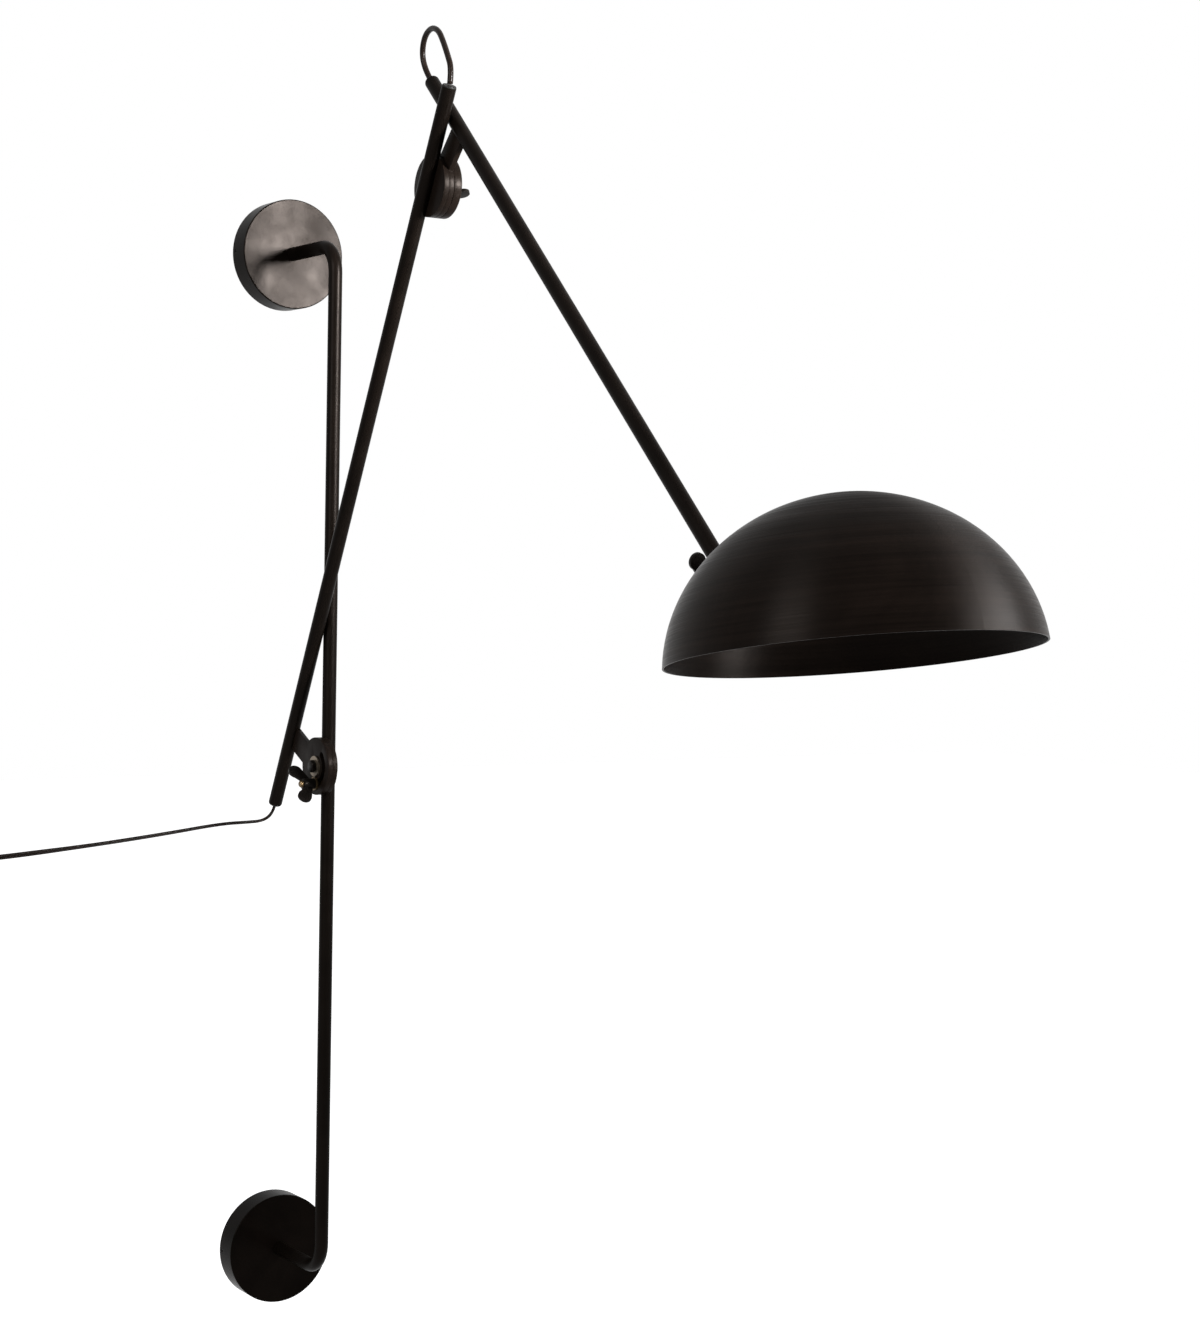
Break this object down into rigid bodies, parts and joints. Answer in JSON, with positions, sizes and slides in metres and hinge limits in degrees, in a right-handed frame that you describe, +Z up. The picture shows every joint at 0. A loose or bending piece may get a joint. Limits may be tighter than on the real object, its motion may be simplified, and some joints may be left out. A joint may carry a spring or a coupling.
{
  "type": "wall sconce",
  "caption": "Swing-arm wall sconce: bracket tube on two round canopies, two hinged arms with wing nuts, a dome shade and a plug-in lead.",
  "frame": {"origin": "centre of the lower canopy's back, on the wall", "axes": "+X right along the wall, +Y into the wall, +Z up; the lamp stands out from the wall towards -Y"},
  "size_m": [0.4869, 1.0139, 1.1668],
  "materials": {
    "bronze": "satin dark bronze",
    "bronze_dome": "satin dark bronze over spun metal",
    "steel": "plain",
    "brass": "plain",
    "black_plastic": "moulded",
    "cable": "matt sheath"
  },
  "bodies": {
    "wall_frame": {"wall_rod": "bronze", "rod_nuts": "bronze", "canopy_lower": "bronze", "canopy_upper": "bronze", "backplate_lower": "steel", "backplate_upper": "steel", "set_screws_lower": "steel", "set_screws_upper": "steel", "hinge1_disc": "bronze", "hinge1_bolt": "bronze", "hinge1_bolt_washer": "steel", "hinge1_stud": "brass", "hinge1_stud_washer": "brass", "lead_coil": "cable", "coil_tie": "black_plastic", "plug_body": "black_plastic", "plug_blades": "brass"},
    "lower_arm": {"lower_arm_tube": "bronze", "lower_arm_bushings": "black_plastic", "lower_arm_wire": "cable", "hinge1_plate": "bronze", "hinge2_disc": "bronze", "hinge2_clamp_disc": "bronze", "hinge2_bolt": "bronze", "hinge2_bolt_washer": "steel", "hinge2_stud": "brass", "hinge2_stud_washer": "brass", "lead_cord": "cable"},
    "upper_arm": {"upper_arm_tube": "bronze", "upper_arm_bushings": "black_plastic", "upper_arm_wire": "cable", "hinge2_plate": "bronze", "hinge3_disc": "bronze", "hinge3_bolt": "bronze", "hinge3_bolt_washer": "steel", "hinge3_stud": "brass", "hinge3_stud_washer": "brass", "loop_cable": "cable"},
    "lamp_head": {"hinge3_plate": "bronze", "dome_shell": "bronze_dome", "dome_grommet": "black_plastic", "head_rivets": "bronze", "inner_bracket": "steel", "lampholder_body": "black_plastic", "lampholder_shell": "brass", "lampholder_contact": "brass", "lampholder_nipple": "steel", "nipple_nut": "steel"},
    "wing_nut_1": {"hinge1_wing_nut": "bronze"},
    "wing_nut_2": {"hinge2_wing_nut": "bronze"},
    "wing_nut_3": {"hinge3_wing_nut": "bronze"}
  },
  "joints": [
    {"name": "lower_arm_tilt", "type": "hinge", "parent": "wall_frame", "child": "lower_arm", "pos_m": [0, -0.111, 0.47], "axis": [1, 0, 0], "range_deg": [-4, 50], "deforming": ["lead_cord"]},
    {"name": "upper_arm_fold", "type": "hinge", "parent": "lower_arm", "child": "upper_arm", "pos_m": [0, -0.30094, 0.97858], "axis": [1, 0, 0], "range_deg": [-50, 30], "deforming": ["loop_cable"]},
    {"name": "dome_tilt", "type": "hinge", "parent": "upper_arm", "child": "lamp_head", "pos_m": [0, -0.74062, 0.63855], "axis": [1, 0, 0], "range_deg": [-14, 50]},
    {"name": "wing_nut_1_turn", "type": "hinge", "parent": "wall_frame", "child": "wing_nut_1", "pos_m": [0, -0.111, 0.454], "axis": [1, 0, 0], "range_deg": [-180, 0]},
    {"name": "wing_nut_2_turn", "type": "hinge", "parent": "lower_arm", "child": "wing_nut_2", "pos_m": [0, -0.28723, 0.97034], "axis": [1, 0, 0], "range_deg": [0, 180]},
    {"name": "wing_nut_3_turn", "type": "hinge", "parent": "upper_arm", "child": "wing_nut_3", "pos_m": [0, -0.72656, 0.64618], "axis": [1, 0, 0], "range_deg": [-180, 0]}
  ]
}
